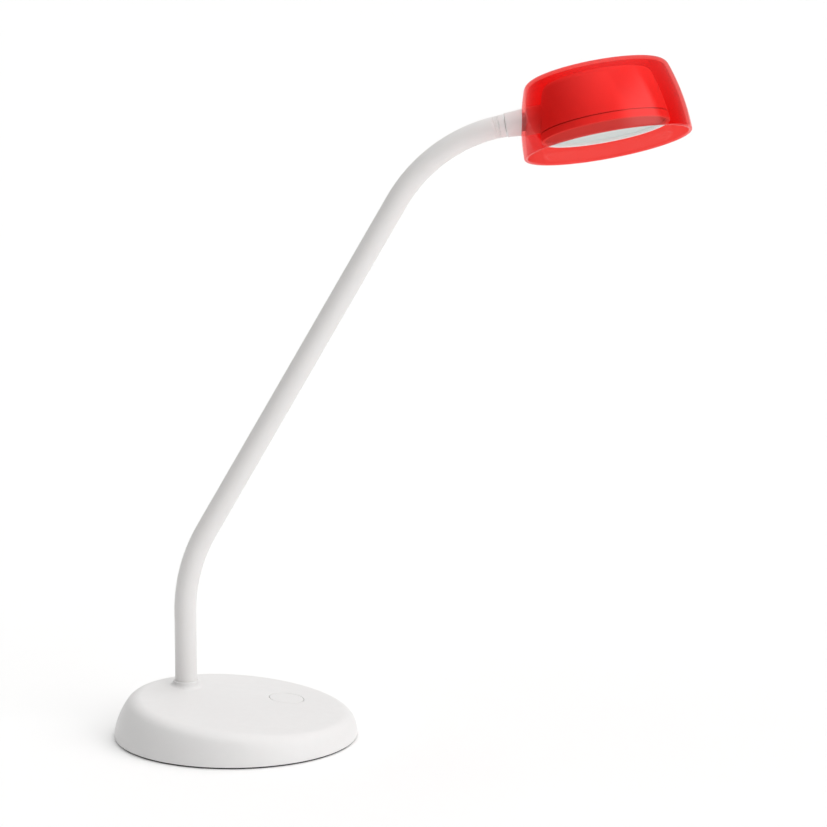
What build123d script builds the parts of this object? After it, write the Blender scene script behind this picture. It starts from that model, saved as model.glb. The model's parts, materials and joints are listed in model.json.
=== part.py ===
"""Desk lamp: weighted round base, flexible sleeved arm, swivelling round LED head.

Frame: millimetres, +Z up, origin at the centre of the underside of the base.
The arm stands behind the centre of the base and leans towards +X.
"""
from build123d import *
from math import cos, radians, sin, tan
import os

# ---------------------------------------------------------------- driving sizes
BASE_RADIUS = 75.0
BASE_CURVE = 0.016          # the base's side comes in by this times height squared
TOP_HEIGHT = 20.7           # height of the sloping top above the origin
TOP_SLOPE = 5.6             # degrees
TOP_SLOPE_HEADING = -6.5    # degrees from +X, the way the top falls
TOP_EDGE = 9.8              # rounding between top and side
BASE_WALL = 2.4
PAD_THICK = 1.0
PAD_RADIUS = 73.6
PLATE_THICK = 2.4
PLATE_RADIUS = 71.6

BUTTON_X, BUTTON_Y = 30.5, 21.0
BUTTON_RADIUS = 10.7
BUTTON_GAP = 0.3

ARM_X, ARM_Y = -32.4, 28.0
ARM_RISE = 71.8             # vertical part of the arm, from the ground plane
LOWER_BEND = 103.0
ARM_LEAN = 29.9             # degrees from the vertical
ARM_STRAIGHT = 236.6
UPPER_BEND = 95.7
NECK_PITCH = 10.4           # degrees above the horizontal
SLEEVE_RADIUS = 6.8
CORE_RADIUS = 5.3
CORE_BORE = 3.2
LEAD_RADIUS = 1.6
LINK_GAP = 0.3              # clearance in the ball-ended joints between two stretches
FIRST_LINK = 56.0           # distance along the arm to the first flexing point
LINK_PITCH = 56.0
LINK_COUNT = 7

HEAD_ROLL = 16.1            # degrees that the head is turned about the neck
HEAD_REACH = 59.4           # along the neck, from the collar's start to the head's axis
NECK_OVER_RIM = 23.4
SHADE_RADIUS = 51.6
SHADE_CURVE = 0.004
SHADE_HEIGHT = 45.8
SHADE_EDGE = 6.0
SHADE_CROWN = 1.0           # how much the middle of the shade's top stands above its edge
SHADE_WALL = 2.4
HOUSING_RADIUS = 39.9       # the lamp housing inside the shade comes in upwards as the shade does
HOUSING_RIM = 13.6          # height of the housing's lower edge above the shade's rim
HOUSING_TOP = 42.0
HOUSING_EDGE = 5.0
HOUSING_WALL = 1.8
BEZEL_RIM = 8.4             # height of the diffuser ring's lower edge above the shade's rim
DIFFUSER_LEVEL = 10.4
SPINDLE_RADIUS = 4.0
RUNNING_FIT = 0.05

# ---------------------------------------------------------------- derived frames
floor_height = PAD_THICK + PLATE_THICK
heading = radians(TOP_SLOPE_HEADING)
top_normal = Vector(
    sin(radians(TOP_SLOPE)) * cos(heading),
    sin(radians(TOP_SLOPE)) * sin(heading),
    cos(radians(TOP_SLOPE)),
)


def top_z(x, y):
    """Height of the sloping top over a point of the ground plane."""
    return TOP_HEIGHT - tan(radians(TOP_SLOPE)) * (x * cos(heading) + y * sin(heading))


button_origin = Vector(BUTTON_X, BUTTON_Y, top_z(BUTTON_X, BUTTON_Y))
button_frame = Plane(origin=button_origin, x_dir=(1, 0, -top_normal.X / top_normal.Z), z_dir=top_normal)
arm_side = Plane.XZ.offset(-ARM_Y)

lean = radians(ARM_LEAN)
neck_turn = radians(90 - NECK_PITCH)
lower_end = ARM_RISE + LOWER_BEND * lean
straight_end = lower_end + ARM_STRAIGHT
neck_start = straight_end + UPPER_BEND * (neck_turn - lean)
run_ends = [0.0, ARM_RISE, lower_end, straight_end, neck_start, neck_start + 100]


def arm_state(along):
    """X, Z and the angle from the vertical at a distance along the arm's centre line."""
    x, z = ARM_X, min(along, ARM_RISE)
    turn = 0.0
    if along > ARM_RISE:
        turn = min(along - ARM_RISE, LOWER_BEND * lean) / LOWER_BEND
        x += LOWER_BEND * (1 - cos(turn))
        z += LOWER_BEND * sin(turn)
    if along > lower_end:
        run = min(along - lower_end, ARM_STRAIGHT)
        x += run * sin(lean)
        z += run * cos(lean)
    if along > straight_end:
        turn = lean + min(along - straight_end, neck_start - straight_end) / UPPER_BEND
        x += UPPER_BEND * (cos(lean) - cos(turn))
        z += UPPER_BEND * (sin(turn) - sin(lean))
    if along > neck_start:
        x += (along - neck_start) * sin(turn)
        z += (along - neck_start) * cos(turn)
    return x, z, turn


def arm_frame(along):
    """Plane across the arm, its Z along the centre line and its X along +Y."""
    x, z, turn = arm_state(along)
    return Plane(origin=(x, ARM_Y, z), x_dir=(0, 1, 0), z_dir=(sin(turn), 0, cos(turn)))


def centre_line(first, last):
    """Lines and arcs of the arm's centre line; call inside BuildLine(arm_side)."""
    for low, high, bent in zip(run_ends, run_ends[1:], (False, True, False, True, False)):
        a, b = max(first, low), min(last, high)
        if b - a < 0.01:
            continue
        ends = [arm_state(at)[:2] for at in (a, (a + b) / 2, b)]
        if bent:
            ThreePointArc(*ends)
        else:
            Line(ends[0], ends[2])


links = [FIRST_LINK + LINK_PITCH * i for i in range(LINK_COUNT)]

neck_frame = arm_frame(neck_start)
neck_way = neck_frame.z_dir
upright = Vector(-neck_way.Z, 0, neck_way.X)
head_up = upright * cos(radians(HEAD_ROLL)) + Vector(0, sin(radians(HEAD_ROLL)), 0)
neck_centre = neck_frame.origin + neck_way * HEAD_REACH
rim_centre = neck_centre - head_up * NECK_OVER_RIM
head_frame = Plane(origin=rim_centre, x_dir=neck_way, z_dir=head_up)
head_section = Plane(origin=rim_centre, x_dir=neck_way, z_dir=neck_way.cross(head_up))
head_axis = Axis(rim_centre, head_up)


def finish(builder, name):
    """Label a finished piece and write its file."""
    builder.part.label = name
    export_step(builder.part, f"parts/{name}.step")


os.makedirs("parts", exist_ok=True)


def parabola(radius, curve, low_end, high_end):
    """Control points of a side that stands at radius, less curve times height squared."""
    middle = (radius - curve * low_end * high_end, (low_end + high_end) / 2)
    return (radius - curve * low_end**2, low_end), middle, (radius - curve * high_end**2, high_end)


# ---------------------------------------------------------------- base shell
def dome(shrink):
    """Solid of the base's outside, or of its hollow when shrunk by the wall."""
    crown = 32.0
    with BuildPart() as body:
        with BuildSketch(Plane.XZ):
            with BuildLine():
                side = parabola(BASE_RADIUS - shrink, BASE_CURVE, PAD_THICK, crown)
                Line((0, PAD_THICK), side[0])
                Bezier(*side)
                Line(side[2], (0, crown))
                Line((0, crown), (0, PAD_THICK))
            make_face()
        revolve(axis=Axis.Z)
        split(bisect_by=Plane(origin=(0, 0, TOP_HEIGHT - shrink), z_dir=top_normal), keep=Keep.BOTTOM)
        fillet(body.faces().sort_by(Axis.Z)[-1].edges(), TOP_EDGE - shrink)
    return body.part


FOOT_COLLAR_RADIUS = 8.1
FOOT_COLLAR_TOP = 27.9
FOOT_FLARE = 2.2
FOOT_LEDGE = 17.0
FOOT_BOSS_RADIUS = 12.0
CLAMP_TOP = 15.0
FERRULE_RADIUS = 6.0
BASE_SCREW_CIRCLE = 63.0
WEIGHT_SCREW_CIRCLE = 42.0
SCREW_RADIUS = 1.5
BOARD_LENGTH, BOARD_WIDTH, BOARD_THICK = 34.0, 24.0, 1.6
BOARD_TOP = -6.9            # below the sloping top, along its normal
JACK_X = 12.0
JACK_HEIGHT = 7.6
JACK_NOSE = 4.0

foot_frame = Plane(origin=(ARM_X, ARM_Y, 0))
board_boss_frame = button_frame.offset(BOARD_TOP)
jack_frame = Plane(origin=(JACK_X, 0, JACK_HEIGHT), x_dir=(1, 0, 0), z_dir=(0, 1, 0))
low = (Align.CENTER, Align.CENTER, Align.MIN)
high = (Align.CENTER, Align.CENTER, Align.MAX)


def base_screw_spots():
    """Where the screws that hold the base plate stand, within the current plane."""
    return PolarLocations(BASE_SCREW_CIRCLE, 4, start_angle=45)


def board_screw_spots():
    """Where the control board's screws stand, within the current plane."""
    return GridLocations(BOARD_LENGTH - 6, BOARD_WIDTH - 6, 2, 2)


with BuildPart() as hollow:
    add(dome(BASE_WALL))
    with Locations(Plane.XY.offset(floor_height)):
        with base_screw_spots():
            Cylinder(4.0, 30, align=low, mode=Mode.SUBTRACT)
    with Locations(foot_frame.offset(CLAMP_TOP)):
        Cylinder(FOOT_BOSS_RADIUS, 20, align=low, mode=Mode.SUBTRACT)
    with Locations(board_boss_frame):
        with board_screw_spots():
            Cylinder(2.6, 10, align=low, mode=Mode.SUBTRACT)

with BuildPart() as base_cover:
    add(dome(0))
    with Locations(foot_frame.offset(FOOT_LEDGE)):
        Cylinder(
            FOOT_COLLAR_RADIUS,
            FOOT_COLLAR_TOP - FOOT_LEDGE,
            align=low,
        )
    collar_side = ARM_X - FOOT_COLLAR_RADIUS
    skirt = base_cover.edges().sort_by_distance((collar_side, ARM_Y, top_z(collar_side, ARM_Y)))[0]
    fillet(skirt, FOOT_FLARE)
    fillet(base_cover.faces().sort_by(Axis.Z)[-1].edges(), 0.5)
    add(hollow.part, mode=Mode.SUBTRACT)
    with Locations(foot_frame.offset(FOOT_LEDGE)):
        Cylinder(SLEEVE_RADIUS + 0.1, 20, align=low, mode=Mode.SUBTRACT)
    with Locations(foot_frame):
        Cylinder(FERRULE_RADIUS + 0.1, 40, align=low, mode=Mode.SUBTRACT)
    with Locations(button_frame):
        Cylinder(BUTTON_RADIUS + BUTTON_GAP, 2 * BASE_WALL + 2, mode=Mode.SUBTRACT)
    with Locations(board_boss_frame):
        with board_screw_spots():
            Cylinder(0.9, 3.5, align=low, mode=Mode.SUBTRACT)
    with Locations(Plane.XY.offset(floor_height)):
        with base_screw_spots():
            Cylinder(SCREW_RADIUS, 4.6, align=low, mode=Mode.SUBTRACT)
    with Locations(jack_frame):
        Cylinder(
            JACK_NOSE + 0.2,
            BASE_RADIUS + 5,
            align=low,
            mode=Mode.SUBTRACT,
        )
finish(base_cover, "base_cover")


# ---------------------------------------------------------------- base floor and weight
def countersunk_screws(spots, length):
    """Screws driven upwards from the plate's underside, heads sunk in the plate."""
    head_radius, head_height, top_gap = 2.9, 1.4, 0.15
    with BuildPart() as screws:
        with Locations(Plane.XY.offset(PAD_THICK + top_gap)):
            with spots():
                Cone(head_radius, SCREW_RADIUS, head_height, align=low)
                Cylinder(SCREW_RADIUS, length, align=low)
                Box(3.6, 0.7, 0.7, align=low, mode=Mode.SUBTRACT)
                Box(0.7, 3.6, 0.7, align=low, mode=Mode.SUBTRACT)
    return screws


def weight_screw_spots():
    """Where the weight's screws stand, within the current plane."""
    return PolarLocations(WEIGHT_SCREW_CIRCLE, 3, start_angle=200, angular_range=120, endpoint=True)


with BuildPart() as anti_slip_pad:
    with BuildSketch():
        Circle(PAD_RADIUS)
    extrude(amount=PAD_THICK)
finish(anti_slip_pad, "anti_slip_pad")

with BuildPart() as base_plate:
    with BuildSketch(Plane.XY.offset(PAD_THICK)):
        Circle(PLATE_RADIUS)
    extrude(amount=PLATE_THICK)
    for spots in (base_screw_spots, weight_screw_spots):
        with Locations(Plane.XY.offset(PAD_THICK)):
            with spots():
                Cone(3.05, 1.6, 1.6, align=low, mode=Mode.SUBTRACT)
                Cylinder(1.6, PLATE_THICK, align=low, mode=Mode.SUBTRACT)
finish(base_plate, "base_plate")

WEIGHT_RADIUS = 57.0
WEIGHT_CLEARANCE = 1.2
LEAD_TUNNEL = 11.0
JACK_POCKET = 14.0

with BuildPart() as ballast_weight:
    with BuildSketch(Plane.XY.offset(floor_height)):
        Circle(WEIGHT_RADIUS)
        with Locations((ARM_X, ARM_Y)):
            Circle(17.5, mode=Mode.SUBTRACT)
        with Locations((BUTTON_X, BUTTON_Y)):
            Rectangle(BOARD_LENGTH + 9, BOARD_WIDTH + 5, mode=Mode.SUBTRACT)
    extrude(amount=20)
    split(
        bisect_by=Plane(origin=(0, 0, TOP_HEIGHT - BASE_WALL - WEIGHT_CLEARANCE), z_dir=top_normal),
        keep=Keep.BOTTOM,
    )
    with Locations(Plane.XY.offset(floor_height)):
        with Locations((ARM_X / 2 + 6, ARM_Y)):
            Box(50, 9, LEAD_TUNNEL, align=low, mode=Mode.SUBTRACT)
        with Locations((JACK_X + 3, 46)):
            Box(20, 40, JACK_POCKET, align=low, mode=Mode.SUBTRACT)
        with weight_screw_spots():
            Cylinder(SCREW_RADIUS, 4.6, align=low, mode=Mode.SUBTRACT)
finish(ballast_weight, "ballast_weight")

base_screws = countersunk_screws(base_screw_spots, 6.2)
finish(base_screws, "base_screws")
weight_screws = countersunk_screws(weight_screw_spots, 6.2)
finish(weight_screws, "weight_screws")

# ---------------------------------------------------------------- arm fixing
FERRULE_BOTTOM = 9.5
SPIGOT_TOP = 34.0
SLEEVE_BOTTOM = 20.0

with BuildPart() as foot_ferrule:
    with Locations(foot_frame.offset(FERRULE_BOTTOM)):
        Cylinder(FERRULE_RADIUS, FOOT_LEDGE - FERRULE_BOTTOM, align=low)
    with Locations(foot_frame.offset(FOOT_LEDGE)):
        Cylinder(SLEEVE_RADIUS, SLEEVE_BOTTOM - FOOT_LEDGE, align=low)
        Cylinder(CORE_BORE, SPIGOT_TOP - FOOT_LEDGE, align=low)
    with Locations(foot_frame):
        Cylinder(2.2, 90, mode=Mode.SUBTRACT)
finish(foot_ferrule, "foot_ferrule")


def foot_ring(outer, bottom, top, sides=0):
    """Round or hexagonal ring on the arm's fixing thread."""
    with BuildPart() as ring:
        with BuildSketch(foot_frame.offset(bottom)):
            if sides:
                RegularPolygon(outer, sides, major_radius=False)
            else:
                Circle(outer)
            Circle(FERRULE_RADIUS, mode=Mode.SUBTRACT)
        extrude(amount=top - bottom)
    return ring


clamp_plate = foot_ring(15.0, 13.0, CLAMP_TOP)
finish(clamp_plate, "clamp_plate")
lock_washer = foot_ring(8.6, 12.2, 13.0)
finish(lock_washer, "lock_washer")
arm_nut = foot_ring(8.5, 9.8, 12.2, sides=6)
finish(arm_nut, "arm_nut")


# ---------------------------------------------------------------- flexible arm
def stretch(first, last, radius, bore=0.0, socket=0.0, ball=True):
    """One stretch of a round flexible layer of the arm.

    socket hollows its lower end round the flexing point; ball rounds its upper end.
    """
    with BuildPart() as layer:
        with BuildLine(arm_side):
            centre_line(first, last)
        with BuildSketch(arm_frame(first)):
            Circle(radius)
            if bore:
                Circle(bore, mode=Mode.SUBTRACT)
        sweep()
        if ball:
            with Locations(arm_frame(last)):
                Sphere(radius, arc_size1=0, align=low)
                if bore:
                    Cylinder(
                        bore,
                        2 * radius,
                        align=low,
                        mode=Mode.SUBTRACT,
                    )
        if socket:
            with Locations(arm_frame(first)):
                Sphere(socket, mode=Mode.SUBTRACT)
    return layer


RING_LENGTH = 3.4
SPINDLE_ROOT = 9.0
SPINDLE_LENGTH = 29.4

sleeve_ends = [SLEEVE_BOTTOM] + links + [neck_start - RING_LENGTH]
core_ends = [SLEEVE_BOTTOM] + links + [neck_start - SPINDLE_ROOT]
lead_ends = [FERRULE_BOTTOM] + links + [neck_start + SPINDLE_LENGTH - 0.2]

for i in range(LINK_COUNT + 1):
    jointed_below = i > 0
    jointed_above = i < LINK_COUNT
    sleeve = stretch(
        sleeve_ends[i],
        sleeve_ends[i + 1],
        SLEEVE_RADIUS,
        bore=CORE_RADIUS,
        socket=SLEEVE_RADIUS + LINK_GAP if jointed_below else 0.0,
        ball=jointed_above,
    )
    finish(sleeve, f"arm_sleeve_{i}")
    core = stretch(
        core_ends[i],
        core_ends[i + 1],
        CORE_RADIUS,
        bore=CORE_BORE,
        socket=SLEEVE_RADIUS + LINK_GAP if jointed_below else 0.0,
        ball=False,
    )
    finish(core, f"gooseneck_core_{i}")
    lead = stretch(
        lead_ends[i],
        lead_ends[i + 1],
        LEAD_RADIUS,
        socket=LEAD_RADIUS + LINK_GAP if jointed_below else 0.0,
        ball=jointed_above,
    )
    finish(lead, f"arm_lead_{i}")

# ---------------------------------------------------------------- neck swivel
SPINDLE_BORE = 2.2
COLLAR_GAP = 0.25
COLLAR_SMALL, COLLAR_LARGE = 7.35, 8.25
COLLAR_LENGTH = 14.0
BUSH_RADIUS = 5.5
PAD_FACE = 25.5             # along the neck: the flat inside the housing
NUT_END = 27.4
WASHER_END = 28.1
CLIP_END = 28.9

sleeve_end_ring = stretch(
    neck_start - RING_LENGTH,
    neck_start,
    SLEEVE_RADIUS + 0.15,
    bore=CORE_RADIUS,
    ball=False,
)
finish(sleeve_end_ring, "sleeve_end_ring")

with BuildPart() as swivel_spindle:
    with BuildLine(arm_side):
        centre_line(neck_start - SPINDLE_ROOT, neck_start)
    with BuildSketch(arm_frame(neck_start - SPINDLE_ROOT)):
        Circle(CORE_RADIUS)
        Circle(SPINDLE_BORE, mode=Mode.SUBTRACT)
    sweep()
    with BuildSketch(neck_frame):
        Circle(SPINDLE_RADIUS)
        Circle(SPINDLE_BORE, mode=Mode.SUBTRACT)
    extrude(amount=SPINDLE_LENGTH)
    with BuildSketch(neck_frame.offset(WASHER_END)):
        Circle(SPINDLE_RADIUS + 1)
        Circle(SPINDLE_RADIUS - 0.6, mode=Mode.SUBTRACT)
    extrude(amount=CLIP_END - WASHER_END, mode=Mode.SUBTRACT)
finish(swivel_spindle, "swivel_spindle")


def neck_ring(outer, bore, start, end):
    """Ring round the neck's axis."""
    with BuildPart() as ring:
        with BuildSketch(neck_frame.offset(start)):
            Circle(outer)
            Circle(bore, mode=Mode.SUBTRACT)
        extrude(amount=end - start)
    return ring


friction_washer = neck_ring(6.6, SPINDLE_RADIUS + RUNNING_FIT, NUT_END + 0.1, WASHER_END)
finish(friction_washer, "friction_washer")
retaining_clip = neck_ring(6.2, SPINDLE_RADIUS - 0.6, WASHER_END, CLIP_END)
finish(retaining_clip, "retaining_clip")


# ---------------------------------------------------------------- head shells
def bowl(radius, bottom, top, edge):
    """Solid with the shade's curved side and crowned top; radius is that of its side at the rim plane."""
    crown = top + SHADE_CROWN
    with BuildPart() as body:
        with BuildSketch(head_section) as outline:
            with BuildLine():
                side = parabola(radius, SHADE_CURVE, bottom, top)
                Line((0, bottom), side[0])
                Bezier(*side)
                Bezier(side[2], (side[2][0] / 2, crown), (0, crown))
                Line((0, crown), (0, bottom))
            make_face()
            fillet(outline.vertices().sort_by_distance(side[2])[0], edge)
        revolve(axis=head_axis)
    return body.part


def shade_solid(shrink, bottom=0.0):
    """Solid of the shade's outside, shrunk all over and cut off below bottom."""
    return bowl(SHADE_RADIUS - shrink, bottom, SHADE_HEIGHT - shrink, SHADE_EDGE - shrink)


HUB_RADIUS = 8.6
HUB_GAP = 0.3

with BuildPart() as shade:
    add(shade_solid(0))
    add(shade_solid(SHADE_WALL), mode=Mode.SUBTRACT)
    fillet(shade.edges().group_by(head_axis)[0], 0.9)
    with Locations(neck_frame):
        Cylinder(BUSH_RADIUS, HEAD_REACH / 2, align=low, mode=Mode.SUBTRACT)
finish(shade, "shade")

PLATE_LEVEL = 33.2          # heat sink plate's underside above the shade's rim
SINK_RADIUS = 32.8
BOARD_RADIUS = 29.6
HEAD_SCREW_CIRCLE = 20.0
SINK_THICK = 2.0


def head_screw_spots():
    """Where the heat sink's screws stand, within the current plane."""
    return PolarLocations(HEAD_SCREW_CIRCLE, 3, start_angle=60)


with BuildPart() as led_housing:
    add(bowl(HOUSING_RADIUS, HOUSING_RIM, HOUSING_TOP, HOUSING_EDGE))
    add(
        bowl(
            HOUSING_RADIUS - HOUSING_WALL,
            HOUSING_RIM,
            HOUSING_TOP - HOUSING_WALL,
            HOUSING_EDGE - HOUSING_WALL,
        ),
        mode=Mode.SUBTRACT,
    )
    with BuildSketch(neck_frame.offset(PAD_FACE)):
        Circle(HUB_RADIUS)
    extrude(amount=8 - PAD_FACE)
    add(shade_solid(SHADE_WALL + HUB_GAP, 1.0), mode=Mode.INTERSECT)
    with Locations(head_frame.offset(PLATE_LEVEL + SINK_THICK)):
        with head_screw_spots():
            Cylinder(3.4, 5.5, align=low)
            Cylinder(1.2, 4, align=low, mode=Mode.SUBTRACT)
    with Locations(neck_frame):
        Cylinder(BUSH_RADIUS, HEAD_REACH / 2, align=low, mode=Mode.SUBTRACT)
finish(led_housing, "led_housing")

with BuildPart() as neck_collar:
    with Locations(neck_frame.offset(COLLAR_GAP)):
        Cone(
            COLLAR_SMALL,
            COLLAR_LARGE,
            COLLAR_LENGTH - COLLAR_GAP,
            align=low,
        )
    chamfer(neck_collar.faces().sort_by(Axis(neck_frame.origin, neck_way))[0].edges(), 0.5)
    add(shade_solid(0), mode=Mode.SUBTRACT)
    with Locations(neck_frame.offset(5)):
        Cylinder(BUSH_RADIUS, NUT_END - 5, align=low)
    with Locations(neck_frame):
        Cylinder(SPINDLE_RADIUS + RUNNING_FIT, 60, mode=Mode.SUBTRACT)
finish(neck_collar, "neck_collar")

with BuildPart() as collar_nut:
    with BuildSketch(neck_frame.offset(PAD_FACE)):
        RegularPolygon(7.0, 6, major_radius=False)
        Circle(BUSH_RADIUS, mode=Mode.SUBTRACT)
    extrude(amount=NUT_END - PAD_FACE)
finish(collar_nut, "collar_nut")

# ---------------------------------------------------------------- head light engine
LED_BOARD_THICK = 1.6
LED_SIZE = 3.0
LED_HEIGHT = 0.8
FIN_COUNT = 7
FIN_PITCH = 7.0
FIN_HEIGHT = 3.6
board_bottom = PLATE_LEVEL - LED_BOARD_THICK
HEAD_SCREW_RADIUS = 1.2

with BuildPart() as heat_sink:
    with BuildSketch(head_frame.offset(PLATE_LEVEL)):
        Circle(SINK_RADIUS)
        with head_screw_spots():
            Circle(HEAD_SCREW_RADIUS, mode=Mode.SUBTRACT)
    extrude(amount=SINK_THICK)
    with BuildSketch(head_frame.offset(PLATE_LEVEL + SINK_THICK)):
        with GridLocations(FIN_PITCH, 0, FIN_COUNT, 1):
            Rectangle(1.4, 2 * SINK_RADIUS)
        Circle(SINK_RADIUS - 4, mode=Mode.INTERSECT)
        with head_screw_spots():
            Circle(4.6, mode=Mode.SUBTRACT)
    extrude(amount=FIN_HEIGHT)
finish(heat_sink, "heat_sink")

with BuildPart() as led_board:
    with BuildSketch(head_frame.offset(board_bottom)):
        Circle(BOARD_RADIUS)
        with head_screw_spots():
            Circle(HEAD_SCREW_RADIUS, mode=Mode.SUBTRACT)
    extrude(amount=LED_BOARD_THICK)
finish(led_board, "led_board")

with BuildPart() as leds:
    with Locations(head_frame.offset(board_bottom)):
        for ring_radius, count in ((10.0, 6), (22.0, 12)):
            with PolarLocations(ring_radius, count, start_angle=15):
                Box(LED_SIZE, LED_SIZE, LED_HEIGHT, align=high)
finish(leds, "leds")

with BuildPart() as head_screws:
    with Locations(head_frame.offset(board_bottom)):
        with head_screw_spots():
            Cylinder(2.4, 1.5, align=high)
            Cylinder(
                HEAD_SCREW_RADIUS,
                LED_BOARD_THICK + SINK_THICK + 3.6,
                align=low,
            )
            with Locations((0, 0, -1.5)):
                Box(3.2, 0.6, 0.7, align=low, mode=Mode.SUBTRACT)
                Box(0.6, 3.2, 0.7, align=low, mode=Mode.SUBTRACT)
finish(head_screws, "head_screws")

REFLECTOR_TOP = 31.2
REFLECTOR_BOTTOM = 12.6
REFLECTOR_WALL = 1.2
DIFFUSER_RADIUS = 37.9
DIFFUSER_THICK = 2.0
DIFFUSER_SHOWN = 37.4       # radius of the opening below the diffuser
SHELF_LEVEL = 12.5          # underside of the shelf that keeps the diffuser down
SHOULDER_LEVEL = 13.0       # top of the ring's outside, a seam's width below the housing
PLUG_TOP = 14.6
PLUG_RADIUS = 37.1

with BuildPart() as reflector:
    with BuildSketch(head_section):
        with BuildLine():
            Polyline(
                (24.0, REFLECTOR_TOP),
                (26.4, REFLECTOR_BOTTOM),
                (36.0, REFLECTOR_BOTTOM),
                (36.0, REFLECTOR_BOTTOM + REFLECTOR_WALL),
                (26.4 + REFLECTOR_WALL, REFLECTOR_BOTTOM + REFLECTOR_WALL),
                (24.0 + REFLECTOR_WALL, REFLECTOR_TOP),
                close=True,
            )
        make_face()
    revolve(axis=head_axis)
finish(reflector, "reflector")

with BuildPart() as diffuser:
    with BuildSketch(head_frame.offset(DIFFUSER_LEVEL)):
        Circle(DIFFUSER_RADIUS)
    extrude(amount=DIFFUSER_THICK)
    fillet(diffuser.edges(), 0.4)
finish(diffuser, "diffuser")

with BuildPart() as diffuser_ring:
    with BuildSketch(head_section):
        with BuildLine():
            Polyline(
                (DIFFUSER_SHOWN, BEZEL_RIM),
                (HOUSING_RADIUS - SHADE_CURVE * BEZEL_RIM**2, BEZEL_RIM),
                (HOUSING_RADIUS - SHADE_CURVE * SHOULDER_LEVEL**2, SHOULDER_LEVEL),
                (PLUG_RADIUS, SHOULDER_LEVEL),
                (PLUG_RADIUS, PLUG_TOP),
                (PLUG_RADIUS - 0.9, PLUG_TOP),
                (PLUG_RADIUS - 0.9, SHELF_LEVEL),
                (DIFFUSER_RADIUS + 0.2, SHELF_LEVEL),
                (DIFFUSER_RADIUS + 0.2, DIFFUSER_LEVEL),
                (DIFFUSER_SHOWN, DIFFUSER_LEVEL),
                close=True,
            )
        make_face()
    revolve(axis=head_axis)
    fillet(diffuser_ring.edges().group_by(head_axis)[0], 0.5)
finish(diffuser_ring, "diffuser_ring")

lead_rest = 28.1            # distance of the lead's upright run from the head's axis
with BuildPart() as head_lead:
    with BuildLine(head_section):
        FilletPolyline(
            (SPINDLE_LENGTH + 0.1 - HEAD_REACH, NECK_OVER_RIM),
            (-lead_rest, NECK_OVER_RIM),
            (-lead_rest, board_bottom),
            radius=1.5,
        )
    with BuildSketch(neck_frame.offset(SPINDLE_LENGTH + 0.1)):
        Circle(1.2)
    sweep()
finish(head_lead, "head_lead")

# ---------------------------------------------------------------- dimmer button and board
FLANGE_TOP = -BASE_WALL - 0.1
FLANGE_THICK = 1.1
STEM_END = -4.6

with BuildPart() as dimmer_button:
    with BuildSketch(button_frame.offset(FLANGE_TOP)):
        Circle(BUTTON_RADIUS)
    extrude(amount=-FLANGE_TOP)
    fillet(dimmer_button.edges().group_by(Axis(button_origin, top_normal))[-1], 0.35)
    with BuildSketch(button_frame.offset(FLANGE_TOP)):
        Circle(12.3)
    extrude(amount=-FLANGE_THICK)
    with BuildSketch(button_frame.offset(STEM_END)):
        Circle(2.0)
    extrude(amount=FLANGE_TOP - FLANGE_THICK - STEM_END)
finish(dimmer_button, "dimmer_button")

flange_bottom = FLANGE_TOP - FLANGE_THICK
with BuildPart() as button_dome:
    with BuildSketch(button_frame.offset(BOARD_TOP)):
        Circle(7.6)
        Circle(5.0, mode=Mode.SUBTRACT)
    extrude(amount=0.8)
    with BuildSketch(button_frame.offset(BOARD_TOP + 0.8)):
        Circle(6.2)
        Circle(5.0, mode=Mode.SUBTRACT)
    extrude(amount=flange_bottom - BOARD_TOP - 0.8)
finish(button_dome, "button_dome")

with BuildPart() as tact_switch:
    with Locations(button_frame.offset(BOARD_TOP)):
        Box(6.0, 6.0, 1.0, align=low)
        Cylinder(1.7, 1.45, align=low)
finish(tact_switch, "tact_switch")

with BuildPart() as control_board:
    with BuildSketch(button_frame.offset(BOARD_TOP - BOARD_THICK)):
        Rectangle(BOARD_LENGTH, BOARD_WIDTH)
        with board_screw_spots():
            Circle(0.9, mode=Mode.SUBTRACT)
    extrude(amount=BOARD_THICK)
    with Locations(button_frame.offset(BOARD_TOP - BOARD_THICK)):
        with Locations((-7, 5)):
            Box(6, 5, 1.2, align=high)
        with Locations((6, -5)):
            Cylinder(3.4, 2.2, align=high)
        with Locations((4, 6)):
            Box(4, 3, 1.0, align=high)
finish(control_board, "control_board")

with BuildPart() as board_screws:
    with Locations(button_frame.offset(BOARD_TOP - BOARD_THICK)):
        with board_screw_spots():
            Cylinder(1.9, 1.1, align=high)
            Cylinder(0.9, BOARD_THICK + 3, align=low)
            with Locations((0, 0, -1.1)):
                Box(2.6, 0.5, 0.5, align=low, mode=Mode.SUBTRACT)
                Box(0.5, 2.6, 0.5, align=low, mode=Mode.SUBTRACT)
finish(board_screws, "board_screws")

# ---------------------------------------------------------------- power inlet and base leads
JACK_BACK, JACK_FRONT = 58.4, 68.2
JACK_WIDTH = 9.0
JACK_TIP = 72.4
JACK_SOCKET = 2.8
JACK_DEPTH = 9.5

with BuildPart() as dc_jack:
    with BuildSketch(jack_frame.offset(JACK_BACK)):
        Rectangle(JACK_WIDTH, 2 * (JACK_HEIGHT - floor_height))
    extrude(amount=JACK_FRONT - JACK_BACK)
    with BuildSketch(jack_frame.offset(JACK_FRONT)):
        Circle(JACK_NOSE)
    extrude(amount=JACK_TIP - JACK_FRONT)
    with BuildSketch(jack_frame.offset(JACK_TIP)):
        Circle(JACK_SOCKET)
        Circle(1.0, mode=Mode.SUBTRACT)
    extrude(amount=-JACK_DEPTH, mode=Mode.SUBTRACT)
    with BuildSketch(jack_frame.offset(JACK_TIP)):
        Circle(JACK_SOCKET)
    extrude(amount=-1.5, mode=Mode.SUBTRACT)
finish(dc_jack, "dc_jack")

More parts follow.
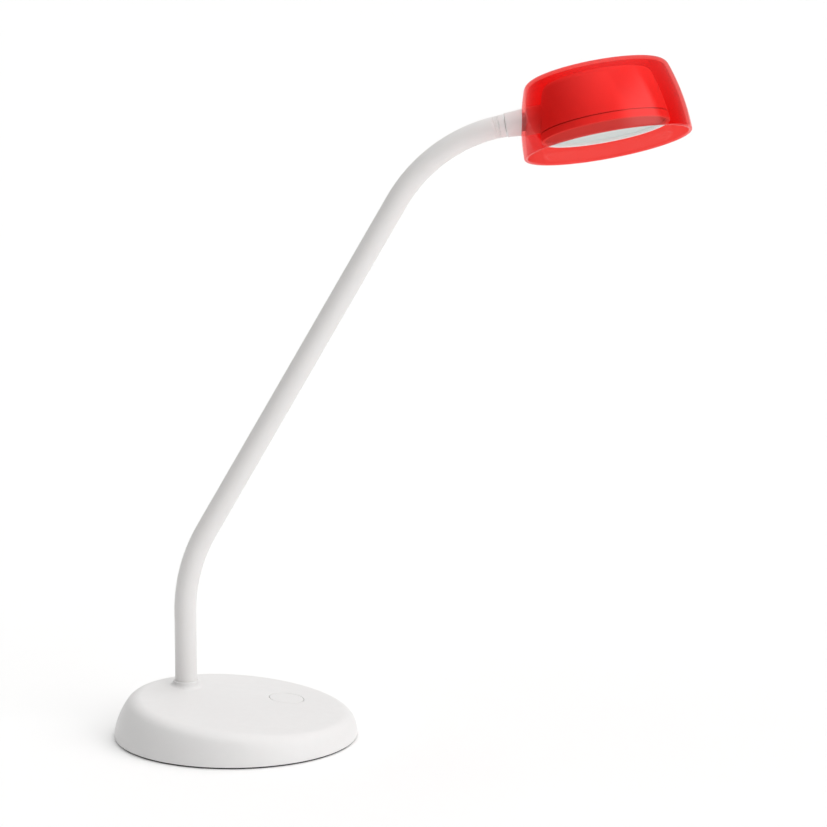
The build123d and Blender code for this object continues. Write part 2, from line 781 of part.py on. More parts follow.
board_edge_x = BUTTON_X - BOARD_LENGTH / 2
board_mid = (BOARD_TOP - BOARD_THICK / 2) * top_normal.Z
with BuildPart() as base_lead:
    with BuildLine(arm_side):
        FilletPolyline(
            (ARM_X, FERRULE_BOTTOM - 0.1),
            (ARM_X, 5.4),
            (-4, 5.4),
            (board_edge_x - 1.6, top_z(board_edge_x, ARM_Y) + board_mid),
            radius=3.5,
        )
    with BuildSketch(Plane(origin=(ARM_X, ARM_Y, FERRULE_BOTTOM - 0.1))):
        Circle(LEAD_RADIUS)
    sweep()
finish(base_lead, "base_lead")

with BuildPart() as jack_lead:
    with BuildLine():
        FilletPolyline(
            (JACK_X, JACK_BACK - 0.1, JACK_HEIGHT),
            (JACK_X, 50, JACK_HEIGHT),
            (JACK_X + 6, 43, 9.5),
            (JACK_X + 6, BUTTON_Y + BOARD_WIDTH / 2 + 1.8, top_z(JACK_X + 6, 38) + board_mid),
            radius=4.0,
        )
    with BuildSketch(jack_frame.offset(JACK_BACK - 0.1)):
        Circle(1.3)
    sweep()
finish(jack_lead, "jack_lead")
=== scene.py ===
"""Desk lamp: the looks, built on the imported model. Everything is in metres, in the model's own frame."""

import json
import math

import bmesh
import bpy
from mathutils import Matrix, Vector
from mathutils.geometry import delaunay_2d_cdt


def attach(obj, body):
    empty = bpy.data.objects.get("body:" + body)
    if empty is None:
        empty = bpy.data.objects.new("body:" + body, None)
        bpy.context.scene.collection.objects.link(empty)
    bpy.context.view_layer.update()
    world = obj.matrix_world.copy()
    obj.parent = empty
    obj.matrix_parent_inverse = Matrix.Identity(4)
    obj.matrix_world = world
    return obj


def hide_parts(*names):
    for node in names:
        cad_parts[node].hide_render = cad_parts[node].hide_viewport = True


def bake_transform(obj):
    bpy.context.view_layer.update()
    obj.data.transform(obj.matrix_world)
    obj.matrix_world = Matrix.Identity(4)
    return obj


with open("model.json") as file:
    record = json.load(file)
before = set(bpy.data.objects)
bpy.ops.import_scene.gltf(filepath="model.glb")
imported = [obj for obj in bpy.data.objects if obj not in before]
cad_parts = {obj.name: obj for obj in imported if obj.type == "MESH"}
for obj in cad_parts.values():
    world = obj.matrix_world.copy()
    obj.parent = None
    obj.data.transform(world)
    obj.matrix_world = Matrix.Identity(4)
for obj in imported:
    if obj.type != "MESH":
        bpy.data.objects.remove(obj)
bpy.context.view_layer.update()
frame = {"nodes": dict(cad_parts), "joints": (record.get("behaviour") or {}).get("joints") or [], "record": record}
scene = bpy.context.scene
nodes = frame["nodes"]
joints = {joint["name"]: joint for joint in frame["joints"]}
MM = 0.001

# ---------------------------------------------------------------- camera
camera = bpy.data.objects.new("camera", bpy.data.cameras.new("camera"))
scene.collection.objects.link(camera)
scene.camera = camera
camera.data.sensor_width = 36
camera.data.lens = 152.36
camera.data.clip_end = 50
camera.location = Vector((0.10956, -2.0885, 0.5986))
camera.rotation_euler = (math.radians(90) - 0.18751, 0, 0)

# ---------------------------------------------------------------- design sizes, in millimetres
BASE_RADIUS, BASE_CURVE = 75.0, 0.016
TOP_HEIGHT, TOP_SLOPE, TOP_EDGE = 20.7, 5.6, 9.8
TOP_HEADING = math.radians(-6.5)
TOP_TILT = math.tan(math.radians(TOP_SLOPE))
BASE_BOTTOM, BASE_WALL = 1.0, 2.4
BUTTON_X, BUTTON_Y, BUTTON_HOLE = 30.5, 21.0, 11.0
JACK_X, JACK_HEIGHT, JACK_HOLE = 12.0, 7.6, 4.2
COLLAR_RADIUS, COLLAR_TOP, COLLAR_FLARE = 8.1, 27.9, 2.2
ARM_RISE, LOWER_BEND, ARM_LEAN = 71.8, 103.0, math.radians(29.9)
ARM_STRAIGHT, UPPER_BEND, NECK_PITCH = 236.6, 95.7, math.radians(10.4)
SLEEVE_RADIUS, SLEEVE_BOTTOM, END_RING = 6.8, 20.0, 3.4
SHADE_RADIUS, SHADE_CURVE, SHADE_HEIGHT = 51.6, 0.004, 45.8
SHADE_EDGE, SHADE_CROWN, SHADE_WALL = 6.0, 1.0, 2.4
HEAD_ROLL, NECK_OVER_RIM, BUSH_RADIUS = math.radians(16.1), 23.4, 5.5

foot = Vector(joints["arm_bend_1"]["pos_m"]) / MM
neck_way = Vector(joints["head_swivel"]["axis"]).normalized()
neck_centre = Vector(joints["head_swivel"]["pos_m"]) / MM
head_up = Vector((-neck_way.z, 0, neck_way.x)) * math.cos(HEAD_ROLL) + Vector((0, math.sin(HEAD_ROLL), 0))
rim_centre = neck_centre - head_up * NECK_OVER_RIM
top_normal = Vector(
    (
        math.sin(math.radians(TOP_SLOPE)) * math.cos(TOP_HEADING),
        math.sin(math.radians(TOP_SLOPE)) * math.sin(TOP_HEADING),
        math.cos(math.radians(TOP_SLOPE)),
    )
)


def top_z(x, y):
    """Height of the base's sloping top over a point of the ground."""
    return TOP_HEIGHT - TOP_TILT * (x * math.cos(TOP_HEADING) + y * math.sin(TOP_HEADING))


# ---------------------------------------------------------------- materials
def linked(tree, kind, inputs=(), **settings):
    """A node with its inputs set: a socket is linked, anything else becomes the socket's value."""
    node = tree.nodes.new(kind)
    for key, value in settings.items():
        setattr(node, key, value)
    for key, value in inputs:
        if isinstance(value, bpy.types.NodeSocket):
            tree.links.new(value, node.inputs[key])
        else:
            node.inputs[key].default_value = value
    return node


def ranged(tree, value, start, end, low=0.0, high=1.0, **settings):
    """A socket's value carried from one range to another."""
    inputs = (("Value", value), ("From Min", start), ("From Max", end), ("To Min", low), ("To Max", high))
    return linked(tree, "ShaderNodeMapRange", inputs, **settings).outputs["Result"]


def shaded(colour, factor):
    """A colour made lighter or darker."""
    return tuple(min(1.0, c * factor) for c in colour) + (1.0,)


def moulded(
    name,
    colour,
    roughness,
    grain=900.0,
    grain_depth=0.000015,
    mottle=0.02,
    wander=0.05,
    pattern=None,
    **sockets,
):
    """Procedural surface: large soft colour drift, uneven gloss and a fine grain, in object space.

    pattern adds cells or bands: (kind, scale, depth), where kind is "cells" or the axis the bands lie across.
    """
    material = bpy.data.materials.new(name)
    material.use_nodes = True
    tree = material.node_tree
    shader = tree.nodes["Principled BSDF"]
    where = linked(tree, "ShaderNodeTexCoord").outputs["Object"]
    drift = linked(tree, "ShaderNodeTexNoise", (("Vector", where), ("Scale", 28.0), ("Detail", 3.0)))
    patches = linked(tree, "ShaderNodeTexNoise", (("Vector", where), ("Scale", 190.0), ("Detail", 5.0)))
    fine = linked(tree, "ShaderNodeTexNoise", (("Vector", where), ("Scale", grain), ("Detail", 2.0)))
    ramp = linked(tree, "ShaderNodeValToRGB", (("Fac", drift.outputs["Fac"]),))
    ramp.color_ramp.elements[0].position = 0.3
    ramp.color_ramp.elements[0].color = shaded(colour, 1 - mottle)
    ramp.color_ramp.elements[1].position = 0.7
    ramp.color_ramp.elements[1].color = shaded(colour, 1 + mottle)
    speckle = ranged(tree, patches.outputs["Fac"], 0.3, 0.7)
    body = linked(
        tree,
        "ShaderNodeMix",
        (("Factor", speckle), ("A", ramp.outputs["Color"]), ("B", shaded(colour, 1 - mottle / 2))),
        data_type="RGBA",
    )
    tree.links.new(body.outputs["Result"], shader.inputs["Base Color"])
    gloss = ranged(tree, patches.outputs["Fac"], 0.25, 0.75, max(0.0, roughness - wander), roughness + wander)
    tree.links.new(gloss, shader.inputs["Roughness"])
    bump = linked(
        tree,
        "ShaderNodeBump",
        (("Height", fine.outputs["Fac"]), ("Strength", 0.6), ("Distance", grain_depth)),
    )
    if pattern:
        kind, scale, depth = pattern
        if kind == "cells":
            cells = linked(tree, "ShaderNodeTexVoronoi", (("Vector", where), ("Scale", scale)))
            height = cells.outputs["Distance"]
        else:
            inputs = (("Vector", where), ("Scale", scale), ("Distortion", 0.4), ("Detail", 1.0))
            wave = linked(tree, "ShaderNodeTexWave", inputs, wave_type="BANDS", bands_direction=kind)
            height = wave.outputs["Fac"]
        bump = linked(
            tree,
            "ShaderNodeBump",
            (("Height", height), ("Strength", 0.8), ("Distance", depth), ("Normal", bump.outputs["Normal"])),
        )
    tree.links.new(bump.outputs["Normal"], shader.inputs["Normal"])
    for key, value in sockets.items():
        shader.inputs[key.replace("_", " ")].default_value = value
    return material


# grain and pattern scales are per metre, depths and scattering distances in metres;
# names with capitals are the shader's own sockets
RECIPES = {
    "white_shell": dict(
        colour=(0.785, 0.778, 0.775), roughness=0.46, grain=1500.0, grain_depth=0.000012, mottle=0.012,
        Coat_Weight=0.06, Coat_Roughness=0.35,
    ),
    "white_sleeve": dict(
        colour=(0.785, 0.772, 0.765), roughness=0.52, grain=1200.0, grain_depth=0.00001, mottle=0.014,
        Subsurface_Weight=0.12, Subsurface_Radius=(0.003, 0.0027, 0.0024), Sheen_Weight=0.08, Sheen_Roughness=0.5,
    ),
    "red_shade": dict(
        colour=(0.902, 0.058, 0.05), roughness=0.03, grain=260.0, grain_depth=0.000004, mottle=0.008, wander=0.015,
        Transmission_Weight=1.0, IOR=1.001, Coat_Weight=0.52, Coat_IOR=1.47, Coat_Roughness=0.04,
    ),
    "white_housing": dict(
        colour=(0.83, 0.83, 0.82), roughness=0.36, grain=1800.0, grain_depth=0.000008, mottle=0.012,
    ),
    "opal_diffuser": dict(
        colour=(0.60, 0.70, 0.69), roughness=0.55, grain=1500.0, grain_depth=0.00001, mottle=0.01, wander=0.05,
        pattern=("cells", 620.0, 0.00006), Subsurface_Weight=0.25, Subsurface_Radius=(0.004, 0.004, 0.004),
    ),
    "dark_rubber": dict(
        colour=(0.03, 0.029, 0.029), roughness=0.75, grain=1700.0, grain_depth=0.00004, mottle=0.1, wander=0.08,
        pattern=("cells", 420.0, 0.0001),
    ),
    "grey_plastic": dict(
        colour=(0.22, 0.22, 0.225), roughness=0.5, grain=1500.0, grain_depth=0.00002, mottle=0.05,
    ),
    "cast_weight": dict(
        colour=(0.12, 0.12, 0.125), roughness=0.62, grain=420.0, grain_depth=0.00018, mottle=0.14, wander=0.1,
        Metallic=0.4,
    ),
    "steel": dict(
        colour=(0.62, 0.62, 0.61), roughness=0.32, grain=2200.0, grain_depth=0.00001, mottle=0.06, wander=0.08,
        pattern=("Z", 320.0, 0.0003), Metallic=1.0,
    ),
    "circuit_board": dict(
        colour=(0.02, 0.16, 0.07), roughness=0.38, grain=1500.0, grain_depth=0.00001, mottle=0.16, wander=0.05,
        pattern=("cells", 260.0, 0.00004), Coat_Weight=0.4,
    ),
    "black_plastic": dict(
        colour=(0.03, 0.03, 0.032), roughness=0.45, grain=1500.0, grain_depth=0.00002, mottle=0.08,
    ),
    "silicone": dict(
        colour=(0.62, 0.62, 0.6), roughness=0.55, grain=900.0, grain_depth=0.00001, mottle=0.03,
        Subsurface_Weight=0.3,
    ),
    "lead_jacket": dict(
        colour=(0.70, 0.70, 0.68), roughness=0.45, grain=1400.0, grain_depth=0.00001, mottle=0.03,
    ),
    "aluminium_sink": dict(
        colour=(0.66, 0.67, 0.68), roughness=0.42, grain=900.0, grain_depth=0.00005, mottle=0.05, wander=0.08,
        Metallic=1.0,
    ),
    "white_board": dict(
        colour=(0.78, 0.78, 0.76), roughness=0.35, grain=1500.0, grain_depth=0.00001, mottle=0.02, wander=0.04,
        pattern=("X", 90.0, 0.00004),
    ),
    "led_lens": dict(
        colour=(0.86, 0.66, 0.12), roughness=0.22, grain=1500.0, grain_depth=0.00001, mottle=0.06, wander=0.04,
        Coat_Weight=0.6,
    ),
}
looks = {name: moulded(name, **recipe) for name, recipe in RECIPES.items()}
for part in frame["record"]["subparts"]:
    node = nodes[part["node"]]
    node.data.materials.clear()
    node.data.materials.append(looks[part["material_slot"]])


# ---------------------------------------------------------------- mesh helpers
def piece(name, verts, faces, body, look, replaced=(), merge=0.0):
    """A smooth mesh piece from points in millimetres."""
    data = bpy.data.meshes.new(name)
    data.from_pydata([Vector(v) * MM for v in verts], [], faces)
    grid = bmesh.new()
    grid.from_mesh(data)
    if merge:
        bmesh.ops.remove_doubles(grid, verts=grid.verts, dist=merge * MM)
        bmesh.ops.recalc_face_normals(grid, faces=grid.faces)
    for face in grid.faces:
        face.smooth = True
    grid.to_mesh(data)
    grid.free()
    made = bpy.data.objects.new(name, data)
    scene.collection.objects.link(made)
    data.materials.append(looks[look])
    if body:
        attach(made, body)
    if replaced:
        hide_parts(*replaced)
    return made


def arc(centre, radius, start, end, steps):
    """Points of an arc in a plane, angles in radians."""
    turns = [start + (end - start) * i / steps for i in range(steps + 1)]
    return [(centre[0] + radius * math.cos(t), centre[1] + radius * math.sin(t)) for t in turns]


def band(faces, ring_a, ring_b):
    """Quads between two closed rings of vertex numbers."""
    count = len(ring_a)
    for i in range(count):
        j = (i + 1) % count
        faces.append((ring_a[i], ring_a[j], ring_b[j], ring_b[i]))


def add_ring(verts, points):
    """Add points and give back their numbers."""
    start = len(verts)
    verts.extend(points)
    return list(range(start, len(verts)))


def sweep(verts, faces, rings):
    """Join closed rings of points one after another, and give back their numbers."""
    numbers = [add_ring(verts, ring) for ring in rings]
    for a, b in zip(numbers, numbers[1:]):
        band(faces, a, b)
    return numbers


def halved(low, high, beyond):
    """Where a test turns true between two limits, found by halving."""
    for _ in range(50):
        middle = (low + high) / 2
        if beyond(middle):
            high = middle
        else:
            low = middle
    return middle


def rounding(radius, curve, edge, height):
    """Centre of the rounding that leaves a curved side at a height, and the side's slant there."""
    lean = 2 * curve * height
    size = math.hypot(1, lean)
    centre = (radius - curve * height * height - edge / size, height - edge * lean / size)
    return centre, math.atan2(lean, 1)


def fill(verts, faces, loops, inside, keep, lift):
    """Even triangles between closed loops of plane points; lift turns a plane point into a space point."""
    flat, edges = [], []
    for loop in loops:
        first = len(flat)
        flat.extend(loop)
        edges.extend((first + i, first + (i + 1) % len(loop)) for i in range(len(loop)))
    flat.extend(inside)
    out, _, triangles, _, _, _ = delaunay_2d_cdt([Vector(p) for p in flat], edges, [], 0, 1e-6)
    start = len(verts)
    verts.extend(lift(p) for p in out)
    for tri in triangles:
        middle = sum((Vector(out[i]) for i in tri), Vector((0, 0))) / len(tri)
        if keep(middle):
            faces.append(tuple(start + i for i in tri))


# the height of an even triangle with sides of one
EVEN_ROW = 0.866


def grid_points(low, high, pitch):
    """A triangular lattice over a rectangle."""
    rows = int((high[1] - low[1]) / (pitch * EVEN_ROW)) + 1
    columns = int((high[0] - low[0]) / pitch) + 2
    return [
        (low[0] + (i + 0.5 * (j % 2)) * pitch, low[1] + j * pitch * EVEN_ROW)
        for j in range(rows)
        for i in range(columns)
    ]


# ---------------------------------------------------------------- base shell
COLUMNS, SIDE_ROWS, EDGE_STEPS = 288, 16, 16
WALL_INSIDE = ((-0.3, 7.0), (0.0, 4.0), (0.0, 1.35))
SMALL_EDGE, LIP_EDGE, LIP_INSET = 0.3, 0.5, 0.55
SIDE_START, TOP_START = 1.9, 2.0


def top_rounding(tilt):
    """The rounding between side and top in one upright half plane: its centre, its start and its first angle."""

    def beyond(z):
        (r, up), _ = rounding(BASE_RADIUS, BASE_CURVE, TOP_EDGE, z)
        return up + tilt * r + TOP_EDGE * math.hypot(1, tilt) > TOP_HEIGHT

    z = halved(2.0, 30.0, beyond)
    centre, slant = rounding(BASE_RADIUS, BASE_CURVE, TOP_EDGE, z)
    return centre, z, slant


verts, faces, profiles = [], [], []
wall = BASE_RADIUS - BASE_WALL
for i in range(COLUMNS):
    turn = 2 * math.pi * i / COLUMNS
    tilt = TOP_TILT * math.cos(turn - TOP_HEADING)
    centre, side_end, slant = top_rounding(tilt)
    outline = [(wall + across, z) for across, z in WALL_INSIDE]
    outline += arc((wall + SMALL_EDGE, BASE_BOTTOM + SMALL_EDGE), SMALL_EDGE, math.pi, 1.5 * math.pi, 3)[1:]
    outline += arc((BASE_RADIUS - LIP_INSET, BASE_BOTTOM + LIP_EDGE), LIP_EDGE, 1.5 * math.pi, 2 * math.pi, 5)
    side_first = len(outline)
    for k in range(1, SIDE_ROWS + 1):
        z = SIDE_START + (side_end - SIDE_START) * k / SIDE_ROWS
        outline.append((BASE_RADIUS - BASE_CURVE * z * z, z))
    outline += arc(centre, TOP_EDGE, slant, math.pi / 2 - math.atan(tilt), EDGE_STEPS)[1:]
    last = outline[-1]
    outline.append((last[0] - TOP_START, last[1] + TOP_START * tilt))
    profiles.append([(r * math.cos(turn), r * math.sin(turn), z) for r, z in outline])
side_last = side_first + SIDE_ROWS - 1
rows = [add_ring(verts, row) for row in zip(*profiles)]

# the side is left open round the jack and filled again below with a round hole
jack_turn = math.atan2(math.sqrt(BASE_RADIUS**2 - JACK_X**2), JACK_X)
jack_column = round(jack_turn / (2 * math.pi) * COLUMNS)
PATCH = 6
patch_first, patch_last = jack_column - PATCH, jack_column + PATCH
for k in range(len(rows) - 1):
    for i in range(COLUMNS):
        j = (i + 1) % COLUMNS
        if patch_first <= i < patch_last and side_first <= k < side_last:
            continue
        faces.append((rows[k][i], rows[k][j], rows[k + 1][j], rows[k + 1][i]))


def on_side(point):
    """Space point of the base's side from its X and height, at the back."""
    x, z = point
    r = BASE_RADIUS - BASE_CURVE * z * z
    return x, math.sqrt(r * r - x * x), z


def side_xz(k, i):
    """X and height of a corner of the side's mesh."""
    x, _, z = verts[rows[k][i]]
    return x, z


border = [side_xz(side_first, i) for i in range(patch_last, patch_first, -1)]
border += [side_xz(k, patch_first) for k in range(side_first, side_last)]
border += [side_xz(side_last, i) for i in range(patch_first, patch_last)]
border += [side_xz(k, patch_last) for k in range(side_last, side_first, -1)]
hole = [(JACK_X + x, JACK_HEIGHT + z) for x, z in arc((0, 0), JACK_HOLE + SMALL_EDGE, 0, 2 * math.pi, 48)[:-1]]
xs, zs = [p[0] for p in border], [p[1] for p in border]
corner_low, corner_high = (min(xs), min(zs)), (max(xs), max(zs))


def beyond_jack(point, margin=0.0):
    """True outside the jack's hole."""
    return math.hypot(point[0] - JACK_X, point[1] - JACK_HEIGHT) > JACK_HOLE + 0.25 + margin


PATCH_PITCH = 1.4
patch_inside = [
    (x, z)
    for x, z in grid_points(corner_low, corner_high, PATCH_PITCH)
    if beyond_jack((x, z), 0.8)
    and corner_low[0] + 1.2 < x < corner_high[0] - 1.2
    and corner_low[1] + 0.7 < z < corner_high[1] - 0.9
]
fill(verts, faces, [border, hole], patch_inside, beyond_jack, on_side)
mouth = [Vector(on_side(p)) for p in hole]
# how far in and how deep each ring of the hole's rounded mouth lies
MOUTH_RINGS = ((0.0, 0.0), (0.12, 0.03), (0.25, 0.14), (0.3, 0.3), (0.3, 3.2))
mouth_rings = []
for inset, depth in MOUTH_RINGS:
    ring = []
    for point in mouth:
        across = Vector((point.x - JACK_X, 0, point.z - JACK_HEIGHT)).normalized()
        ring.append(tuple(point - across * inset - Vector((0, depth, 0))))
    mouth_rings.append(ring)
sweep(verts, faces, mouth_rings)

# the arm's foot
FOOT_SEGMENTS = 96
COLLAR_EDGE, COLLAR_LIP, COLLAR_DEPTH, SLEEVE_GAP = 0.5, 0.25, 4.0, 0.1
foot_reach, foot_level = COLLAR_RADIUS + COLLAR_FLARE, top_z(foot.x, foot.y)
bore = SLEEVE_RADIUS + SLEEVE_GAP
foot_profiles = []
for i in range(FOOT_SEGMENTS):
    turn = 2 * math.pi * i / FOOT_SEGMENTS
    tilt = TOP_TILT * math.cos(turn - TOP_HEADING)
    centre = (foot_reach, foot_level - tilt * foot_reach + COLLAR_FLARE * math.hypot(1, tilt))
    outline = arc(centre, COLLAR_FLARE, -math.pi / 2 - math.atan(tilt), -math.pi, 12)
    outline += arc((COLLAR_RADIUS - COLLAR_EDGE, COLLAR_TOP - COLLAR_EDGE), COLLAR_EDGE, 0, math.pi / 2, 6)
    outline += arc((bore + COLLAR_LIP, COLLAR_TOP - COLLAR_LIP), COLLAR_LIP, math.pi / 2, math.pi, 4)
    outline += [(bore, COLLAR_TOP - COLLAR_DEPTH)]
    foot_profiles.append([(foot.x + r * math.cos(turn), foot.y + r * math.sin(turn), z) for r, z in outline])
foot_numbers = sweep(verts, faces, zip(*foot_profiles))

# the button's hole
along_x = Vector((1, 0, -top_normal.x / top_normal.z)).normalized()
along_y = top_normal.cross(along_x)
button_reach = BUTTON_HOLE + SMALL_EDGE
button_foot = Vector((BUTTON_X, BUTTON_Y, top_z(BUTTON_X, BUTTON_Y)))
button_profiles = []
for i in range(FOOT_SEGMENTS):
    turn = 2 * math.pi * i / FOOT_SEGMENTS
    way = along_x * math.cos(turn) + along_y * math.sin(turn)
    outline = arc((button_reach, -SMALL_EDGE), SMALL_EDGE, math.pi / 2, math.pi, 5) + [(BUTTON_HOLE, -BASE_WALL)]
    button_profiles.append([tuple(button_foot + way * r + top_normal * z) for r, z in outline])
hole_numbers = sweep(verts, faces, zip(*button_profiles))

outer_loop = [verts[n][:2] for n in rows[-1]]
foot_loop = [verts[n][:2] for n in foot_numbers[0]]
button_loop = [verts[n][:2] for n in hole_numbers[0]]


def open_top(point, margin=0.0):
    """True where the base's top is not taken up by the arm's foot or the button."""
    off_foot = math.hypot(point[0] - foot.x, point[1] - foot.y) > foot_reach - 0.6 + margin
    return off_foot and math.hypot(point[0] - BUTTON_X, point[1] - BUTTON_Y) > button_reach - 0.25 + margin


TOP_PITCH, HOLE_MARGIN, RIM_MARGIN = 3.6, 2.2, 2.5
rim_reach = min(math.hypot(*p) for p in outer_loop)
top_inside = [
    p
    for p in grid_points((-70, -70), (70, 70), TOP_PITCH)
    if open_top(p, HOLE_MARGIN) and math.hypot(*p) < rim_reach - RIM_MARGIN
]
top_loops = [outer_loop, foot_loop, button_loop]
fill(verts, faces, top_loops, top_inside, open_top, lambda p: (p[0], p[1], top_z(p[0], p[1])))
piece("base_shell", verts, faces, "base", "white_shell", ("base_cover",), merge=0.004)

# ---------------------------------------------------------------- arm sleeve
lower_end = ARM_RISE + LOWER_BEND * ARM_LEAN
straight_end = lower_end + ARM_STRAIGHT
neck_turn = math.pi / 2 - NECK_PITCH
neck_start = straight_end + UPPER_BEND * (neck_turn - ARM_LEAN)
BEND_PITCH = 56.0
ends = [BEND_PITCH + BEND_PITCH * i for i in range(7)]


def arm_at(along):
    """Point of the arm's centre line and the way it runs, at a distance along it."""
    x, z, turn = foot.x, min(along, ARM_RISE), 0.0
    if along > ARM_RISE:
        turn = min(along - ARM_RISE, lower_end - ARM_RISE) / LOWER_BEND
        x += LOWER_BEND * (1 - math.cos(turn))
        z += LOWER_BEND * math.sin(turn)
    if along > lower_end:
        run = min(along, straight_end) - lower_end
        x += run * math.sin(ARM_LEAN)
        z += run * math.cos(ARM_LEAN)
    if along > straight_end:
        turn = ARM_LEAN + (min(along, neck_start) - straight_end) / UPPER_BEND
        x += UPPER_BEND * (math.cos(ARM_LEAN) - math.cos(turn))
        z += UPPER_BEND * (math.sin(turn) - math.sin(ARM_LEAN))
    return Vector((x, foot.y, z)), Vector((math.sin(turn), 0, math.cos(turn)))


ROUND, STATION_PITCH = 72, 1.4
FIRST_BLEND, HALF_BLEND = (30.0, 82.0), 28.0
# each groove near the sleeve's end as (along the arm, depth), and the end itself as (back from it, depth)
GROOVE = ((0.0, 0.0), (0.12, 0.13), (0.26, 0.13), (0.38, 0.0))
SLEEVE_END = ((0.3, 0.0), (0.08, 0.1), (0.0, 0.3), (0.0, 1.4))
GROOVES_CLEAR, GROOVES_BACK, GROOVE_PITCH = 3.6, 3.2, 1.05
sleeve_last = neck_start - END_RING
cuts = [SLEEVE_BOTTOM] + [(a + b) / 2 for a, b in zip(ends, ends[1:])] + [sleeve_last]
for k in range(7):
    first, last = cuts[k], cuts[k + 1]
    count = max(8, round((last - first) / STATION_PITCH))
    stations = [(first + (last - first) * i / count, SLEEVE_RADIUS) for i in range(count + 1)]
    if k == 6:
        stations = [station for station in stations if station[0] < sleeve_last - GROOVES_CLEAR]
        for groove in range(3):
            spot = sleeve_last - GROOVES_BACK + GROOVE_PITCH * groove
            stations += [(spot + along, SLEEVE_RADIUS - depth) for along, depth in GROOVE]
        stations += [(sleeve_last - back, SLEEVE_RADIUS - depth) for back, depth in SLEEVE_END]
    rings = []
    for along, radius in stations:
        middle, way = arm_at(along)
        side = Vector((0, 1, 0))
        up = way.cross(side)
        ring = []
        for i in range(ROUND):
            turn = 2 * math.pi * i / ROUND
            ring.append(tuple(middle + side * (radius * math.cos(turn)) + up * (radius * math.sin(turn))))
        rings.append(ring)
    verts, faces = [], []
    sweep(verts, faces, rings)
    taken = [f"arm_sleeve_{k}"] + (["arm_sleeve_7"] if k == 6 else [])
    tube = piece(f"sleeve_stretch_{k + 1}", verts, faces, None, "white_sleeve", taken)
    start, end = FIRST_BLEND if k == 0 else (ends[k] - HALF_BLEND, ends[k] + HALF_BLEND)
    arm_at(start)[0] * MM
    arm_at(end)[0] * MM
    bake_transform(tube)

# ---------------------------------------------------------------- shade
head_side = neck_way.cross(head_up)


def head_point(r, h, turn):
    """Space point at a radius, height and angle round the head's axis."""
    return tuple(rim_centre + head_up * h + neck_way * (r * math.cos(turn)) + head_side * (r * math.sin(turn)))


RIM_EDGE, SIDE_STEPS, CORNER_STEPS, CROWN_STEPS, AROUND = 0.95, 26, 14, 12, 180


def bowl_outline(radius, top, edge):
    """The shade's side from the rim to the middle of its crowned top."""

    def beyond(h):
        (_, up), _ = rounding(radius, SHADE_CURVE, edge, h)
        return up > top - edge - 0.02 * edge

    h = halved(1.0, top, beyond)
    (r, up), slant = rounding(radius, SHADE_CURVE, edge, h)
    outline = []
    for i in range(SIDE_STEPS + 1):
        z = RIM_EDGE + (h - RIM_EDGE) * i / SIDE_STEPS
        outline.append((radius - SHADE_CURVE * z * z, z))
    rise = 2 * SHADE_CROWN / r
    outline += arc((r, up), edge, slant, math.pi / 2 - math.atan(rise * 0.98), CORNER_STEPS)[1:]
    start_r, start_z = outline[-1]
    peak = top + SHADE_CROWN / 2
    for i in range(1, CROWN_STEPS + 1):
        share = i / CROWN_STEPS
        outline.append((start_r * (1 - share), start_z + (peak - start_z) * (1 - (1 - share) ** 2)))
    return outline


outer = bowl_outline(SHADE_RADIUS, SHADE_HEIGHT, SHADE_EDGE)
inner = bowl_outline(SHADE_RADIUS - SHADE_WALL, SHADE_HEIGHT - SHADE_WALL, SHADE_EDGE - SHADE_WALL)
rim = arc((SHADE_RADIUS - RIM_EDGE, RIM_EDGE), RIM_EDGE, 0, -math.pi / 2, 6)[1:]
rim += arc((SHADE_RADIUS - SHADE_WALL + RIM_EDGE, RIM_EDGE), RIM_EDGE, -math.pi / 2, -math.pi, 6)[:-1]
profile = list(reversed(outer)) + rim + inner
verts, faces, rings = [], [], []
for r, h in profile:
    if r < 1e-6:
        rings.append(add_ring(verts, [head_point(0, h, 0)]))
    else:
        rings.append(add_ring(verts, [head_point(r, h, 2 * math.pi * i / AROUND) for i in range(AROUND)]))
for a, b in zip(rings, rings[1:]):
    if len(a) == 1:
        faces.extend((a[0], b[i], b[(i + 1) % AROUND]) for i in range(AROUND))
    elif len(b) == 1:
        faces.extend((a[i], b[0], a[(i + 1) % AROUND]) for i in range(AROUND))
    else:
        band(faces, a, b)
shade = piece("shade_shell", verts, faces, None, "red_shade", merge=0.0005)

# the hole for the neck's bush, cut through the shade's wall
DRILL_RADIUS, DRILL_LENGTH, DRILL_BACK = BUSH_RADIUS + 0.02, 40.0, 48.0
cutter_data = bpy.data.meshes.new("bush_hole")
drill_place = Matrix.Translation((neck_centre - neck_way * DRILL_BACK) * MM)
drill = bmesh.new()
bmesh.ops.create_cone(
    drill,
    cap_ends=True,
    segments=96,
    radius1=DRILL_RADIUS * MM,
    radius2=DRILL_RADIUS * MM,
    depth=DRILL_LENGTH * MM,
    matrix=drill_place @ neck_way.to_track_quat("Z", "Y").to_matrix().to_4x4(),
)
drill.to_mesh(cutter_data)
drill.free()
cutter = bpy.data.objects.new("bush_hole", cutter_data)
scene.collection.objects.link(cutter)
cut = shade.modifiers.new("bush_hole", "BOOLEAN")
cut.operation = "DIFFERENCE"
cut.solver = "EXACT"
cut.object = cutter
bpy.context.view_layer.update()
drilled = bpy.data.meshes.new_from_object(shade.evaluated_get(bpy.context.evaluated_depsgraph_get()))
shade.modifiers.clear()
shade.data = drilled
bpy.data.objects.remove(cutter)
shade.visible_shadow = False
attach(shade, "head")
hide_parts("shade")

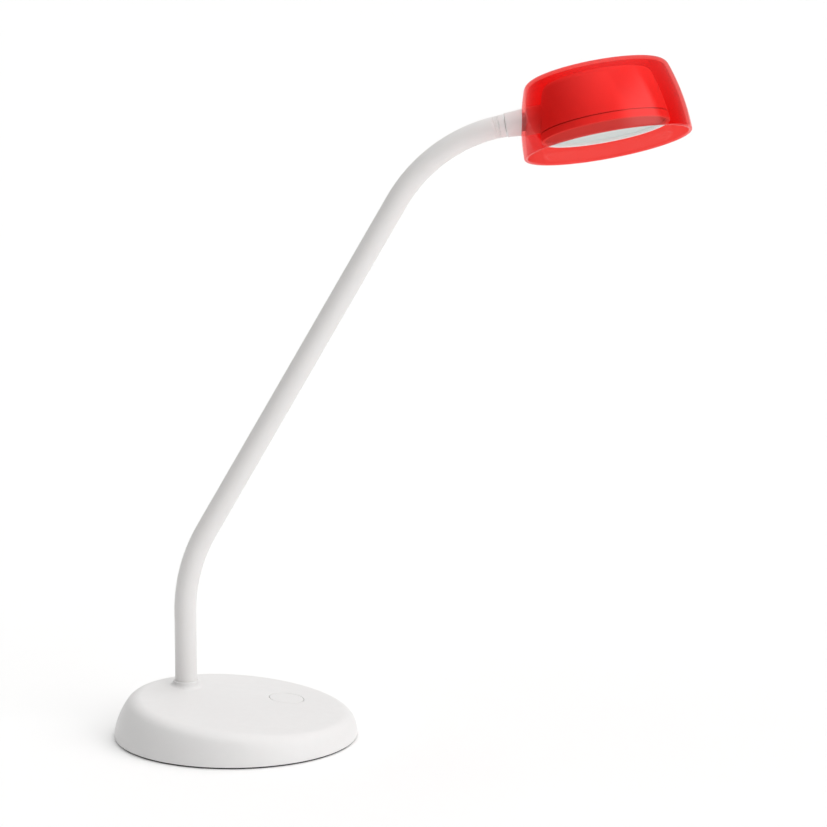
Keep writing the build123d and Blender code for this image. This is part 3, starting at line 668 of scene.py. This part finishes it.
# ---------------------------------------------------------------- floor, world and lights
floor_data = bpy.data.meshes.new("floor")
floor_data.from_pydata([(-15, -12, 0), (15, -12, 0), (15, 30, 0), (-15, 30, 0)], [], [(0, 1, 2, 3)])
floor = bpy.data.objects.new("floor", floor_data)
scene.collection.objects.link(floor)
paper = moulded(
    "paper",
    colour=(0.955, 0.955, 0.955),
    roughness=0.9,
    grain=300.0,
    grain_depth=0.00001,
    mottle=0.004,
    Specular_IOR_Level=0.1,
)
floor_data.materials.append(paper)

world = bpy.data.worlds.new("studio")
scene.world = world
world.use_nodes = True
sky = world.node_tree


def stepped(value, start, end, low=0.0, high=1.0):
    """A smooth step between two values of a socket."""
    return ranged(sky, value, start, end, low, high, interpolation_type="SMOOTHSTEP")


def maths(operation, *values):
    """A maths node on sockets and numbers."""
    return linked(sky, "ShaderNodeMath", tuple(enumerate(values)), operation=operation).outputs["Value"]


direction = linked(sky, "ShaderNodeTexCoord").outputs["Generated"]
parts = linked(sky, "ShaderNodeSeparateXYZ", (("Vector", direction),)).outputs
compass = maths("ARCTAN2", parts["X"], maths("MULTIPLY", parts["Y"], -1.0))
height = maths("ARCSINE", parts["Z"])
# a softbox low on the right of the camera, a wide ceiling, a screen behind and a little light all round
SOFTBOX, CEILING, SCREEN, ALL_ROUND = 2.35, 1.47, 0.6, 0.03
box_sides = maths(
    "MULTIPLY",
    stepped(compass, math.radians(8), math.radians(48)),
    stepped(compass, math.radians(74), math.radians(88), 1.0, 0.0),
)
box_ends = maths(
    "MULTIPLY",
    stepped(height, math.radians(-4), math.radians(8)),
    stepped(height, math.radians(34), math.radians(58), 1.0, 0.0),
)
softbox = maths("MULTIPLY", maths("MULTIPLY", box_sides, box_ends), SOFTBOX)
ceiling = maths("MULTIPLY", maths("POWER", maths("MAXIMUM", parts["Z"], 0.0), 2.5), CEILING)
screen = maths("MULTIPLY", maths("POWER", maths("MAXIMUM", parts["Y"], 0.0), 2.0), SCREEN)
total = maths("ADD", maths("ADD", softbox, ceiling), maths("ADD", screen, ALL_ROUND))
sky.nodes["Background"].inputs["Color"].default_value = (1.0, 0.998, 0.993, 1.0)
sky.links.new(total, sky.nodes["Background"].inputs["Strength"])


def aimed(name, kind, place, target, energy, **settings):
    """A light that looks at a point."""
    data = bpy.data.lights.new(name, kind)
    data.energy = energy
    for key, value in settings.items():
        setattr(data, key, value)
    lamp = bpy.data.objects.new(name, data)
    scene.collection.objects.link(lamp)
    lamp.location = Vector(place)
    lamp.rotation_mode = "QUATERNION"
    lamp.rotation_quaternion = (Vector(target) - Vector(place)).to_track_quat("-Z", "Y")
    return lamp


sun = aimed("sun", "SUN", (1.6, 0.9, 3.0), (0, 0, 0), 0.5, angle=math.radians(35))
sun.visible_glossy = False

scene.view_settings.view_transform = "Standard"
